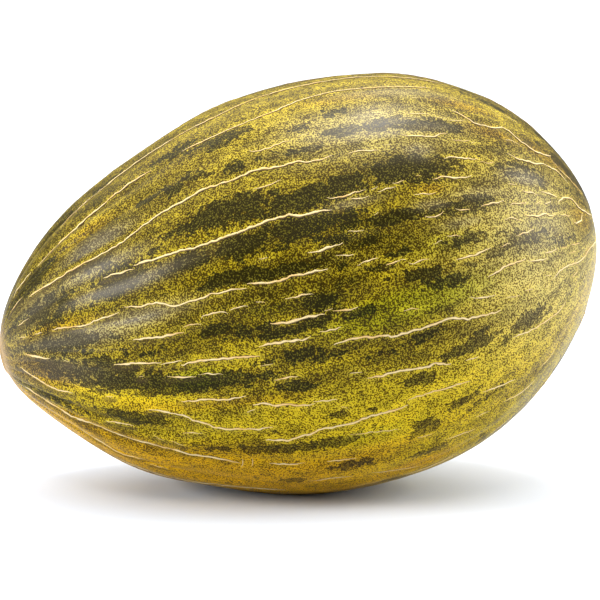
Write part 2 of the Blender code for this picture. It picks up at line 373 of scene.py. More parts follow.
# Cracks that the photograph shows: a width and pixels along each one
shownCracks = {
    "top rim": [
        (1.2, [(70, 218), (80, 208), (94, 196), (107, 185), (123, 173), (139, 161), (153, 152), (166, 143),
            (180, 136), (200, 125), (225, 113), (246, 103), (267, 95), (283, 90), (300, 87), (321, 82),
            (337, 80), (353, 78), (385, 77), (407, 79), (423, 81), (439, 83), (449, 86)]),
        (1.3, [(33, 273), (46, 258), (60, 242), (76, 228), (87, 218), (98, 208), (107, 200), (117, 193),
            (128, 186), (139, 178), (149, 172), (158, 167)]),
        (1.1, [(174, 155), (185, 151), (201, 144), (210, 139), (222, 132), (235, 127), (246, 122),
            (257, 120), (267, 114), (283, 108), (297, 103), (304, 99), (310, 95), (321, 93), (332, 92),
            (343, 92), (353, 90), (366, 88), (396, 88), (428, 88), (439, 89)]),
        (1.1, [(35, 268), (22, 284), (10, 304)]),
        (1.1, [(7, 319), (15, 308), (25, 294)]),
        (1.0, [(56, 233), (64, 224), (78, 209), (94, 193)]),
        (0.9, [(12, 288), (24, 266), (40, 246)]),
    ],
    "upper left": [
        (1.3, [(30, 297), (38, 291), (55, 281), (71, 271), (91, 260), (108, 251), (124, 241), (141, 228),
            (153, 219), (164, 212), (182, 202), (193, 196), (201, 191), (210, 188), (222, 184), (233, 180),
            (241, 177), (251, 172), (262, 169), (278, 167), (289, 164), (300, 161), (309, 162), (321, 160),
            (332, 155)]),
        (1.0, [(348, 154), (359, 151), (369, 151), (380, 150)]),
        (0.8, [(383, 145), (391, 144)]),
        (0.8, [(253, 190), (262, 187), (271, 184), (281, 180)]),
        (0.9, [(249, 150), (254, 152), (265, 149), (271, 148), (281, 143), (291, 140)]),
        (0.7, [(298, 137), (309, 133)]),
        (1.0, [(103, 278), (116, 274), (134, 269)]),
        (1.3, [(133, 266), (149, 261), (166, 256), (180, 251), (190, 249), (207, 244), (221, 239),
            (231, 235), (243, 231), (256, 226), (267, 221), (280, 218), (289, 215), (299, 216), (312, 213),
            (322, 211), (332, 210)]),
        (0.9, [(327, 198), (335, 198), (347, 196), (357, 192), (366, 190)]),
        (0.7, [(371, 190), (378, 187)]),
        (0.8, [(348, 199), (360, 199), (369, 196)]),
        (0.8, [(378, 192), (386, 189), (396, 187)]),
        (0.8, [(392, 183), (398, 183), (404, 180)]),
    ],
    "top right": [
        (0.9, [(401, 135), (407, 136), (417, 136), (430, 137), (437, 136), (440, 134), (447, 133)]),
        (0.9, [(403, 113), (413, 114), (430, 114)]),
        (0.8, [(434, 117), (447, 119)]),
        (0.8, [(449, 121), (459, 121), (465, 121)]),
        (0.6, [(411, 98), (421, 97)]),
        (0.6, [(429, 157), (432, 156)]),
        (0.9, [(444, 159), (449, 157), (460, 158), (466, 159), (479, 159)]),
        (0.8, [(480, 162), (490, 163), (494, 162)]),
        (0.9, [(432, 179), (444, 177), (460, 178), (472, 176)]),
        (0.6, [(416, 176), (420, 175)]),
        (0.8, [(451, 139), (459, 141), (470, 141)]),
        (0.6, [(471, 143), (476, 143)]),
        (1.2, [(450, 110), (459, 114), (466, 118), (474, 123), (483, 126), (493, 128), (502, 128),
            (508, 131), (515, 137), (521, 142), (528, 147), (536, 152), (547, 156), (551, 156)]),
        (1.0, [(552, 161), (558, 168), (566, 176), (571, 181), (582, 194)]),
        (0.8, [(504, 139), (512, 141), (520, 145)]),
        (0.7, [(490, 109), (500, 117)]),
        (0.7, [(500, 113), (512, 120), (519, 124)]),
        (1.2, [(507, 153), (515, 158), (526, 161), (536, 164), (543, 164), (548, 167), (556, 171),
            (563, 178), (568, 184)]),
    ],
    "blossom end": [
        (1.0, [(508, 184), (516, 185)]),
        (1.1, [(521, 189), (525, 192), (532, 193), (538, 195)]),
        (1.2, [(541, 192), (549, 194), (557, 197)]),
        (1.1, [(558, 204), (561, 199), (567, 198), (572, 200), (578, 207), (585, 212), (593, 217)]),
        (0.9, [(582, 213), (581, 220), (576, 223), (572, 220)]),
        (0.8, [(560, 215), (570, 216)]),
        (1.0, [(481, 207), (488, 204), (496, 203), (504, 201)]),
        (1.0, [(510, 206), (512, 203), (520, 204), (527, 202)]),
        (0.9, [(535, 204), (542, 202)]),
        (0.9, [(544, 205), (551, 201)]),
        (1.1, [(524, 215), (538, 216), (544, 214), (551, 217), (555, 214)]),
        (0.9, [(455, 209), (462, 210), (470, 209)]),
        (0.9, [(504, 219), (513, 218), (521, 221)]),
        (0.8, [(516, 236), (534, 230)]),
        (0.8, [(447, 236), (461, 236)]),
        (0.6, [(433, 244), (442, 240)]),
        (1.0, [(456, 260), (471, 256), (482, 252), (491, 247)]),
        (0.8, [(500, 247), (510, 243)]),
        (0.9, [(544, 253), (551, 252), (557, 249)]),
        (0.8, [(561, 248), (567, 247)]),
        (0.9, [(571, 245), (580, 243)]),
        (0.7, [(569, 254), (576, 251)]),
        (1.0, [(488, 277), (500, 270), (511, 264), (526, 259)]),
        (1.0, [(528, 261), (536, 261), (547, 258)]),
        (1.0, [(597, 238), (595, 242), (589, 249), (584, 257), (578, 262), (567, 266), (560, 271),
            (552, 280)]),
        (0.8, [(549, 285), (545, 288)]),
        (0.7, [(588, 245), (585, 253)]),
        (0.8, [(578, 264), (576, 273), (571, 277)]),
        (0.7, [(576, 278), (576, 287)]),
        (0.8, [(545, 276), (551, 275)]),
        (0.7, [(525, 290), (533, 289)]),
        (0.7, [(506, 298), (520, 296)]),
    ],
    "right": [
        (0.9, [(414, 195), (425, 194), (436, 193)]),
        (0.7, [(374, 215), (378, 212)]),
        (1.0, [(425, 216), (431, 217), (437, 216), (444, 212)]),
        (0.7, [(400, 260), (406, 260)]),
        (0.9, [(408, 263), (414, 264), (419, 261), (429, 259)]),
        (0.8, [(469, 297), (477, 298), (487, 297), (496, 295)]),
        (0.9, [(404, 311), (410, 309), (419, 309)]),
        (1.2, [(334, 345), (341, 342), (353, 339), (362, 337), (372, 337), (388, 335), (391, 337),
            (400, 335), (414, 330), (424, 328), (437, 323), (448, 319), (462, 318), (469, 320), (472, 318),
            (483, 315), (494, 313), (501, 310)]),
        (0.8, [(512, 338), (529, 331), (540, 325), (550, 318), (558, 312), (566, 301)]),
        (1.3, [(367, 378), (376, 377), (388, 374), (400, 371), (414, 369), (426, 367), (434, 364),
            (451, 364)]),
        (0.9, [(466, 361), (479, 357)]),
        (0.9, [(408, 400), (419, 396), (432, 392), (447, 388), (459, 384), (470, 381)]),
        (0.9, [(483, 392), (494, 388), (505, 384), (515, 379)]),
        (0.8, [(503, 402), (515, 396), (524, 390), (535, 380)]),
        (0.7, [(476, 417), (489, 411)]),
        (0.8, [(418, 438), (432, 434)]),
        (0.8, [(445, 440), (461, 434), (475, 429)]),
        (0.7, [(540, 368), (550, 357), (556, 347)]),
    ],
    "middle": [
        (0.9, [(52, 330), (61, 328), (83, 326), (98, 320), (110, 316), (119, 312)]),
        (0.9, [(124, 307), (139, 307), (157, 303), (172, 306), (182, 304), (188, 302), (201, 299),
            (212, 294), (222, 293), (231, 290), (247, 288)]),
        (1.2, [(247, 284), (261, 283), (270, 283), (278, 281), (285, 279), (292, 276), (299, 275),
            (309, 273), (328, 269)]),
        (0.9, [(201, 319), (203, 316), (211, 314), (222, 312), (228, 314)]),
        (0.9, [(230, 310), (239, 307), (248, 306)]),
        (0.8, [(256, 302), (265, 302)]),
        (0.9, [(285, 299), (296, 297), (302, 295), (313, 294)]),
        (1.3, [(133, 340), (149, 338), (166, 336), (184, 332)]),
        (0.9, [(183, 327), (191, 325), (201, 324)]),
        (1.4, [(270, 323), (284, 323), (296, 320), (313, 316), (325, 314)]),
        (0.9, [(324, 311), (333, 309)]),
        (1.1, [(333, 311), (348, 310), (358, 307)]),
        (1.1, [(320, 332), (330, 330), (341, 327)]),
        (1.3, [(259, 347), (271, 344), (284, 342), (303, 340), (311, 336)]),
        (1.3, [(308, 253), (320, 252), (327, 248), (343, 243)]),
        (0.9, [(336, 255), (354, 255)]),
        (0.9, [(348, 231), (355, 232), (364, 230)]),
        (1.0, [(357, 265), (367, 262), (378, 258)]),
        (1.1, [(386, 265), (400, 260)]),
        (0.7, [(259, 259), (268, 258)]),
        (0.8, [(350, 373), (362, 372)]),
    ],
    "lower left": [
        (1.1, [(114, 364), (129, 364), (149, 363), (161, 362)]),
        (1.0, [(161, 365), (174, 362), (182, 361)]),
        (1.2, [(181, 365), (194, 362), (208, 360), (222, 359), (243, 357), (260, 356)]),
        (0.8, [(139, 377), (144, 377)]),
        (0.9, [(167, 377), (182, 377), (196, 376)]),
        (0.9, [(198, 375), (211, 374), (223, 375)]),
        (0.6, [(260, 366), (273, 364)]),
        (1.1, [(274, 380), (285, 378), (298, 376)]),
        (0.9, [(181, 401), (194, 401), (208, 399), (222, 400), (237, 398), (246, 396)]),
        (0.8, [(247, 412), (255, 409)]),
        (1.1, [(253, 405), (266, 404), (276, 406), (287, 404), (301, 406), (315, 404)]),
        (0.8, [(313, 401), (325, 401), (337, 399)]),
        (0.5, [(341, 407), (348, 408)]),
        (1.0, [(149, 410), (166, 412), (182, 415), (193, 420), (208, 424), (214, 427), (226, 429),
            (241, 429), (260, 429), (273, 427)]),
        (1.2, [(266, 440), (290, 440), (298, 437), (310, 434), (322, 429), (339, 426), (354, 423),
            (364, 418), (379, 414), (394, 410), (408, 405)]),
        (0.7, [(183, 433), (203, 433)]),
        (1.1, [(35, 334), (42, 333)]),
        (0.9, [(20, 338), (26, 337)]),
        (0.9, [(18, 326), (29, 318)]),
        (1.2, [(25, 354), (33, 356), (50, 359)]),
        (0.8, [(64, 361), (70, 362)]),
        (0.9, [(20, 367), (33, 376), (43, 382), (51, 387), (63, 391), (73, 393)]),
        (0.7, [(106, 396), (113, 397)]),
        (0.8, [(106, 421), (121, 423), (134, 426)]),
    ],
    "belly": [
        (1.2, [(25, 386), (43, 398), (61, 409), (76, 418), (95, 424), (114, 432), (134, 439), (153, 444),
            (172, 449), (191, 454), (211, 457), (226, 460), (240, 463)]),
        (0.8, [(242, 459), (243, 463), (242, 467)]),
        (0.8, [(252, 458), (253, 462), (252, 466)]),
        (1.0, [(269, 463), (287, 464), (305, 463)]),
        (0.9, [(327, 461), (341, 460), (356, 458)]),
        (1.0, [(307, 481), (318, 480), (330, 478), (353, 476)]),
        (0.5, [(350, 435), (375, 432), (399, 429)]),
        (0.7, [(371, 473), (395, 470), (420, 466)]),
        (0.6, [(154, 435), (158, 438), (164, 440)]),
        (0.7, [(171, 441), (185, 446)]),
        (0.9, [(76, 426), (102, 442), (121, 453), (147, 460)]),
        (0.8, [(150, 464), (168, 469)]),
    ],
}

# Cracks of the hidden sides, laid along the fruit by chance
hiddenCracks = {
    "firstAngle": 158,            # degrees
    "lastAngle": 357,
    "lanesPerTract": 1.5,
    "stemLengths": (30, 110),     # mm, as the next two are
    "otherLengths": (6, 32),
    "gaps": (6, 28),
    "widths": (0.6, 1.3),         # in plain crack widths
    "laneSway": 0.35,             # of the spacing, either way
    "wander": 0.0016,
    "wanderRuns": (14.0, 3.5),    # mm of the slow and the fine noise
    "fineWander": 0.35,
    "fineSlice": 5.0,
    "leastRadius": 0.010,         # of the fruit, as the wander is turned into an angle
    "seed": 71,
}


def smoothPath(points, spacing):
    # evenly spaced points on a Catmull-Rom curve through the given ones
    points = [Vector(point) for point in points]
    ends = [points[0] * 2.0 - points[1]] + points + [points[-1] * 2.0 - points[-2]]
    path = []
    for before, start, end, after in zip(ends, ends[1:], ends[2:], ends[3:]):
        count = max(1, round((end - start).length / spacing))
        for index in range(count):
            part = index / count
            bend = (end - before) * part + (before * 2.0 - start * 5.0 + end * 4.0 - after) * part ** 2
            bend += (start * 3.0 - before - end * 3.0 + after) * part ** 3
            path.append(start + bend * 0.5)
    path.append(points[-1])
    return path


def steadyPath(hits):
    # takes out the swerves of a crack that the photograph shows nearly edge on
    places = np.array([toRind(point, seat) for point, normal in hits])
    reach = min(cork["rimReach"], len(places) // 2)
    padded = np.pad(places, ((reach, reach), (0, 0)), mode="edge")
    window = np.ones(2 * reach + 1) / (2 * reach + 1)
    stations, angles = (np.convolve(padded[:, side], window, mode="valid") for side in (0, 1))
    return [onRind(station, angle) for station, angle in zip(stations, angles)]


def shownPaths():
    pixelStep = cork["step"] * view["focalPixels"] / view["distance"]
    for name, cracks in shownCracks.items():
        for width, pixels in cracks:
            hits = [onPixel(pixel) for pixel in smoothPath(pixels, pixelStep)]
            hits = [hit for hit in hits if hit is not None]
            if name == "top rim":
                hits = [hit for hit in steadyPath(hits) if hit is not None]
            yield width, hits


def hiddenPaths():
    draw = random.Random(hiddenCracks["seed"])
    spacing = math.degrees(fullTurn) / len(layTracts()) / hiddenCracks["lanesPerTract"]
    slow, fine = hiddenCracks["wanderRuns"]
    angle = hiddenCracks["firstAngle"]
    while angle < hiddenCracks["lastAngle"]:
        place = tracts["corkFirst"] + draw.uniform(*hiddenCracks["gaps"])
        while place < tracts["corkLast"]:
            nearStem = place < tracts["stemDashesEnd"]
            lengths = hiddenCracks["stemLengths"] if nearStem else hiddenCracks["otherLengths"]
            end = min(place + draw.uniform(*lengths), tracts["corkLast"])
            lane = angle + draw.uniform(-hiddenCracks["laneSway"], hiddenCracks["laneSway"]) * spacing
            phase = draw.uniform(*cork["phases"])
            hits = []
            count = max(3, round((end - place) * millimetre / cork["step"]))
            for index in range(count + 1):
                spot = place + (end - place) * index / count
                station = spot * 2.0 * millimetre / fruit["length"] - 1.0
                radius = max(float(smoothRadius(np.array(station))), hiddenCracks["leastRadius"])
                sway = noise.noise(Vector((spot / slow, phase, 0.0)))
                sway += hiddenCracks["fineWander"] * noise.noise(
                    Vector((spot / fine, phase, hiddenCracks["fineSlice"])))
                hits.append(onRind(station, math.radians(lane) + hiddenCracks["wander"] * sway / radius))
            yield draw.uniform(*hiddenCracks["widths"]), [hit for hit in hits if hit is not None]
            place = end + draw.uniform(*hiddenCracks["gaps"])
        angle += spacing


def crackPoints(width, hits, phase):
    # place, normal, sideways direction towards the belly and radius of each point of a crack
    lengths = [0.0]
    for (before, _), (after, _) in zip(hits, hits[1:]):
        lengths.append(lengths[-1] + (after - before).length)
    points = []
    for index, (point, normal) in enumerate(hits):
        here = lengths[index]
        ends = min(1.0, min(here, lengths[-1] - here) / cork["taper"])
        uneven = 1.0 + cork["widthWander"] * noise.noise(Vector((here / cork["widthRun"], phase, 0.0)))
        along = (hits[min(index + 1, len(hits) - 1)][0] - hits[max(index - 1, 0)][0]).normalized()
        aside = normal.cross(along)
        angle = toRind(point, seat)[1]
        if aside.dot(Vector((0.0, -math.cos(angle), -math.sin(angle)))) < 0.0:
            aside.negate()
        sway = cork["sideWander"] * noise.noise(Vector((here / cork["sideRun"], phase, cork["sideSlice"])))
        radius = cork["halfWidth"] * width * uneven * (cork["endShare"] + (1.0 - cork["endShare"]) * ends)
        points.append((point + aside * sway, normal, aside, radius))
    return points


def buildCork(paths):
    curve = bpy.data.curves.new("corkCracks", "CURVE")
    curve.dimensions = "3D"
    curve.bevel_depth = 1.0       # the points of a strand give its real radius
    curve.bevel_resolution = cork["sides"]
    curve.use_fill_caps = True
    draw = random.Random(hiddenCracks["seed"] + 1)
    paths = [(width, hits) for width, hits in paths if len(hits) > 2]
    cracks = [crackPoints(width, hits, draw.uniform(*cork["phases"])) for width, hits in paths]
    for crack in cracks:
        spline = curve.splines.new("POLY")
        spline.points.add(len(crack) - 1)
        for knot, (place, normal, aside, radius) in zip(spline.points, crack):
            knot.co = (*place, 1.0)
            knot.radius = radius
    rough = bpy.data.objects.new("corkCurve", curve)
    bpy.context.scene.collection.objects.link(rough)
    mesh = bpy.data.meshes.new_from_object(rough.evaluated_get(bpy.context.evaluated_depsgraph_get()))
    bpy.data.objects.remove(rough, do_unlink=True)
    shape = bmesh.new()
    shape.from_mesh(mesh)
    bmesh.ops.remove_doubles(shape, verts=shape.verts[:], dist=tiny)
    bmesh.ops.recalc_face_normals(shape, faces=shape.faces[:])
    flattenCork(shape, [point for crack in cracks for point in crack])
    shape.to_mesh(mesh)
    shape.free()
    mesh.shade_smooth()
    piece = bpy.data.objects.new("corkCracks", mesh)
    bpy.context.scene.collection.objects.link(piece)
    return piece


def treeOf(places):
    tree = kdtree.KDTree(len(places))
    for index, place in enumerate(places):
        tree.insert(place, index)
    tree.balance()
    return tree


def flattenCork(shape, points):
    # press the round strands into low ridges, and note how far each point lies to the side
    tree = treeOf([point[0] for point in points])
    side = shape.verts.layers.float.new("side")
    for vert in shape.verts:
        place, normal, aside, radius = points[tree.find(vert.co)[1]]
        offset = vert.co - place
        vert[side] = offset.dot(aside) / radius
        vert.co -= normal * offset.dot(normal) * (1.0 - cork["flatness"])
        vert.co.z = max(vert.co.z, 0.0)


crackPaths = list(shownPaths()) + list(hiddenPaths())
corkCracks = buildCork(crackPaths)
print("cork:", len(crackPaths), "cracks,", len(corkCracks.data.polygons), "faces")


# Patches of colour, by pixel: middle, half length along the fruit, half width across it, strength; some
# dark ones are painted shade along the upper rim
shownPatches = {
    "dark": [
        (232, 208, 42, 8, 1.0), (300, 200, 48, 8, 0.9), (400, 165, 40, 12, 0.9), (345, 178, 30, 8, 0.7),
        (122, 282, 32, 10, 0.9), (185, 262, 36, 9, 0.9), (245, 245, 36, 9, 1.0), (300, 228, 36, 9, 1.0),
        (390, 218, 22, 8, 1.0), (372, 240, 24, 7, 0.8), (348, 215, 22, 6, 0.8), (400, 251, 16, 6, 0.7),
        (320, 301, 22, 9, 1.1), (315, 320, 16, 5, 0.7), (250, 330, 26, 6, 0.8), (275, 333, 22, 5, 0.8),
        (452, 280, 30, 9, 0.8), (365, 312, 14, 5, 0.8), (345, 263, 12, 4, 0.7), (325, 258, 18, 4, 0.7),
        (430, 335, 26, 6, 0.8), (465, 350, 26, 6, 0.8), (480, 330, 18, 5, 0.8), (500, 345, 16, 5, 0.6),
        (210, 382, 55, 8, 1.0), (290, 358, 40, 7, 0.8), (335, 352, 22, 5, 0.7), (385, 355, 20, 6, 0.7),
        (300, 386, 22, 6, 0.9), (105, 370, 46, 14, 0.65), (60, 350, 40, 8, 0.7), (135, 418, 34, 6, 0.8),
        (290, 448, 85, 5, 0.9), (355, 464, 24, 5, 0.9), (295, 480, 12, 3, 0.7), (427, 423, 12, 9, 0.9),
        (338, 414, 16, 5, 0.6), (372, 410, 12, 3, 0.6), (277, 431, 12, 3, 0.7), (420, 380, 20, 5, 0.8),
        (460, 402, 16, 5, 0.7), (497, 390, 20, 4, 0.6), (530, 318, 18, 7, 0.8), (520, 243, 34, 9, 0.8),
        (470, 205, 24, 6, 0.8), (520, 172, 26, 8, 0.5), (430, 125, 28, 6, 0.8), (335, 112, 22, 6, 0.7),
        (340, 132, 20, 6, 0.7), (380, 125, 18, 6, 0.7), (300, 130, 20, 6, 0.6), (235, 168, 14, 5, 0.8),
        (270, 157, 20, 6, 0.7), (215, 142, 30, 6, 0.7), (185, 179, 22, 5, 0.6), (155, 195, 20, 5, 0.6),
        (48, 308, 34, 9, 0.8), (90, 265, 40, 5, 0.6), (150, 352, 50, 7, 0.5), (430, 450, 26, 4, 0.6),
        # painted shade: the strips of half width 3 on this line and the next two run along the upper rim
        (560, 240, 16, 5, 0.6), (575, 190, 12, 6, 0.5), (480, 440, 24, 5, 0.5), (30, 256, 26, 3, 0.9),
        (64, 220, 26, 3, 0.9), (100, 188, 30, 3, 0.7), (140, 158, 30, 3, 0.6), (505, 112, 30, 3, 0.8),
        (545, 140, 26, 3, 0.9), (575, 180, 22, 3, 0.9), (475, 95, 20, 3, 0.6), (170, 190, 30, 6, 0.6),
        (300, 268, 50, 6, 0.7), (225, 278, 30, 6, 0.7), (440, 212, 20, 5, 0.7), (350, 225, 26, 6, 0.7),
        (65, 341, 50, 5, 1.0), (60, 368, 42, 9, 0.8), (128, 382, 40, 6, 1.0), (40, 312, 30, 6, 0.9),
        (30, 286, 26, 5, 0.8), (40, 392, 40, 4, 0.7), (425, 275, 24, 8, 0.9), (300, 152, 24, 5, 0.7),
        (455, 243, 20, 6, 0.7), (180, 150, 30, 4, 0.6), (380, 268, 16, 5, 0.6), (218, 330, 20, 6, 1.0),
        (342, 240, 14, 6, 1.0),
    ],
    "golden": [
        (238, 358, 30, 12, 0.7), (140, 402, 46, 8, 0.8), (400, 392, 110, 18, 0.42), (390, 425, 80, 10, 0.5),
        (300, 426, 60, 8, 0.5), (92, 224, 34, 6, 0.45), (430, 260, 60, 22, 0.4), (410, 300, 60, 16, 0.5),
        (520, 350, 40, 22, 0.5), (180, 300, 50, 9, 0.3), (230, 268, 60, 7, 0.3), (120, 328, 60, 6, 0.4),
        (380, 205, 24, 5, 0.4), (430, 190, 26, 8, 0.4), (470, 230, 26, 6, 0.4), (500, 215, 26, 6, 0.4),
        (158, 262, 34, 3, 0.5), (105, 284, 28, 3, 0.5), (130, 246, 26, 3, 0.4), (165, 302, 34, 3, 0.5),
        (490, 112, 30, 6, 0.4), (470, 165, 30, 8, 0.3), (430, 128, 20, 3, 0.4), (86, 390, 16, 3, 0.8),
        (134, 403, 34, 4, 0.7),
    ],
    "warm": [
        (280, 470, 110, 12, 1.0), (120, 440, 60, 10, 1.0), (340, 98, 50, 6, 0.4), (488, 128, 26, 7, 0.6),
        (460, 106, 30, 5, 0.6), (540, 150, 30, 5, 0.6), (430, 188, 16, 6, 0.6), (580, 215, 12, 8, 0.5),
        (92, 228, 34, 7, 0.5), (60, 325, 60, 5, 0.6), (410, 466, 50, 6, 0.7), (180, 408, 60, 5, 0.3),
        (250, 400, 60, 5, 0.4), (40, 372, 34, 9, 0.7), (300, 445, 60, 4, 0.3),
    ],
    # grey wax bloom laid along the highlight streaks and the top: partly real bloom, partly painted sheen
    "bloomAndSheen": [
        (98, 240, 30, 5, 0.9), (95, 268, 38, 6, 0.8), (128, 284, 56, 5, 0.9), (140, 318, 38, 6, 0.8),
        (95, 334, 34, 5, 0.8), (40, 300, 26, 8, 0.4), (430, 126, 28, 6, 0.7), (418, 150, 15, 9, 0.7),
        (524, 177, 22, 7, 0.9), (484, 193, 30, 6, 0.6), (434, 205, 16, 5, 0.6), (466, 222, 22, 6, 0.6),
        (566, 228, 22, 8, 0.5), (370, 116, 36, 7, 0.7), (390, 92, 50, 6, 0.6), (520, 243, 26, 6, 0.6),
        (350, 203, 20, 4, 0.6), (550, 270, 20, 10, 0.5), (65, 341, 50, 5, 0.7),
        (60, 368, 40, 8, 0.5), (36, 305, 30, 10, 0.6), (92, 336, 18, 4, 0.9), (22, 350, 14, 20, 0.4),
        (540, 240, 60, 60, 0.6), (375, 125, 80, 24, 0.6),
    ],
    "green": [
        (410, 305, 66, 14, 1.0), (198, 378, 22, 8, 0.9), (330, 300, 20, 8, 0.5), (350, 440, 60, 8, 0.5),
        (440, 245, 50, 14, 0.4), (270, 310, 30, 8, 0.5),
    ],
    "broad": [                    # soft changes of tone, added up; the dark ones along the upper rim are painted shade
        (330, 265, 150, 55, -0.07), (310, 125, 110, 32, 0.12), (405, 180, 50, 14, -0.12),
        (360, 340, 70, 20, -0.04), (300, 328, 90, 10, -0.08), (420, 320, 50, 10, -0.05),
        (240, 280, 60, 16, -0.14), (290, 268, 40, 10, -0.06), (100, 215, 40, 14, -0.09),
        (55, 250, 34, 8, -0.06), (500, 310, 60, 44, 0.09), (60, 290, 44, 16, 0.02),
        (520, 262, 50, 30, 0.17), (545, 150, 40, 8, -0.08), (110, 425, 40, 14, -0.1),
        (180, 215, 70, 30, -0.06), (165, 160, 50, 14, -0.1), (455, 245, 30, 14, -0.06),
        (520, 372, 46, 30, -0.14), (335, 240, 30, 10, -0.06), (440, 430, 60, 16, 0.04),
        (90, 362, 30, 10, 0.07), (415, 362, 24, 10, -0.08), (388, 392, 22, 10, -0.08),
        (400, 452, 40, 8, -0.08), (280, 420, 40, 10, -0.05), (480, 138, 34, 14, -0.11),
        (335, 362, 24, 9, 0.05),
    ],
}

# Patches of the hidden sides: seed, how many, half lengths and half widths in mm, strengths
hiddenPatches = {
    "dark": (5, 110, (6, 24), (1.8, 5.0), (0.6, 1.1)),
    "golden": (6, 24, (14, 40), (3.0, 9.0), (0.4, 0.8)),
    "warm": (7, 14, (12, 40), (1.5, 4.0), (0.4, 0.9)),
    "green": (8, 10, (8, 26), (2.5, 5.0), (0.4, 0.9)),
    "bloomAndSheen": (9, 30, (8, 24), (2.0, 4.0), (0.5, 1.0)),
    "broad": (17, 16, (25, 60), (8, 22), (-0.16, 0.06)),
}
patchRules = {
    "hiddenStations": (-0.9, 0.92),
    "leastFacing": 0.35,          # a patch near the rim is widened as if it faced the camera this much
    "leastRadius": 0.002,
    "fallOff": 0.6,
}


def patchPlaces(kind):
    # station, angle, half length, half width and strength of each patch, in metres
    places = []
    for x, y, halfLength, halfWidth, strength in shownPatches[kind]:
        point, normal = onPixel((x, y))
        facing = max(patchRules["leastFacing"], -normal.dot(viewForward))
        station, angle = toRind(point, seat)
        places.append((station, angle, halfLength * pixelSize, halfWidth * pixelSize / facing, strength))
    seed, count, lengths, widths, strengths = hiddenPatches[kind]
    draw = random.Random(seed)
    for _ in range(count):
        station = draw.uniform(*patchRules["hiddenStations"])
        angle = math.radians(draw.uniform(hiddenCracks["firstAngle"], hiddenCracks["lastAngle"]))
        halfLength = draw.uniform(*lengths) * millimetre
        halfWidth = draw.uniform(*widths) * millimetre
        places.append((station, angle, halfLength, halfWidth, draw.uniform(*strengths)))
    return places


def patchSpreads(kind):
    # each patch over the whole rind: its strength in its middle, falling off round it
    radius = np.maximum(smoothRadius(rindStation), patchRules["leastRadius"])
    for station, angle, halfLength, halfWidth, strength in patchPlaces(kind):
        along = (rindStation - station) * fruit["length"] / 2.0 / halfLength
        turn = (rindAngle - angle + math.pi) % fullTurn - math.pi
        across = turn * radius / halfWidth
        yield strength * np.exp(-(along ** 2 + across ** 2) * patchRules["fallOff"])


def patchField(kind):
    field = np.zeros(len(rindStation))
    for patch in patchSpreads(kind):
        field = np.maximum(field, patch)
    return field


def besideCracks():
    # how near a crack is, and a painted shade line on the lower side of one, as if each crack were lit from
    # above
    tree = treeOf([point for width, hits in crackPaths for point, normal in hits])
    far, below = np.empty(len(rindStation)), np.empty(len(rindStation))
    for index, vert in enumerate(rind.data.vertices):
        point, _, far[index] = tree.find(vert.co)
        below[index] = point.z - vert.co.z
    halo = np.exp(-(far / cork["haloWidth"]) ** 2)
    shade = np.exp(-((far - cork["shadeOffset"]) / cork["shadeWidth"]) ** 2)
    shade *= np.clip(cork["shadeSlope"] * below / np.maximum(far, tiny), 0.0, 1.0)
    start, end = cork["shadeStations"]
    return halo, shade * np.clip((rindStation - start) / (end - start), cork["shadeElsewhere"], 1.0)


def storeField(name, values):
    layer = rind.data.attributes.new(name, "FLOAT", "POINT")
    layer.data.foreach_set("value", np.clip(values, 0.0, 1.0).astype(np.float32))


# Tone of the skin, from 0 in the darkest patches to 1 in the most golden ones
tones = {
    "plain": 0.36,
    "belly": 0.16,                # added on the belly: the ground spot where the fruit lay, with painted bounce light from the floor
    "bellyEdge": (math.radians(98), math.radians(125)),
    "under": 0.21,                # added again lower down: more ground spot and painted bounce light from the floor
    "underEdge": (math.radians(122), math.radians(150)),
    "underFade": (0.10, 0.75),    # stations between which that fades
    "underAtBlossom": 0.10,
    "warmEdge": (math.radians(115), math.radians(142)),
    "bloomAndSheenEdge": (math.radians(30), math.radians(70)),
    "topBloomAndSheen": 0.12,             # waxy bloom above that belt, partly painted sheen where the upper flanks face the overhead light
    "warmFade": (-0.25, 0.45),    # stations between which the warm belt fades
    "warmAtBlossom": 0.30,
    "golden": 0.34,               # most that a golden patch adds
    "stemTipReach": 0.030,        # in stations
}


def belowEdge(edge):
    # 0 above a belt on both flanks of the fruit, 1 below it
    high, low = (math.cos(angle) for angle in edge)
    share = np.clip((high - np.cos(rindAngle)) / (high - low), 0.0, 1.0)
    return share * share * (3.0 - 2.0 * share)


def fadeToBlossom(stations, last):
    # 1 at the first of two stations, falling by the second, and never below the last share
    start, end = stations
    return np.clip(1.0 - (rindStation - start) / (end - start), last, 1.0)


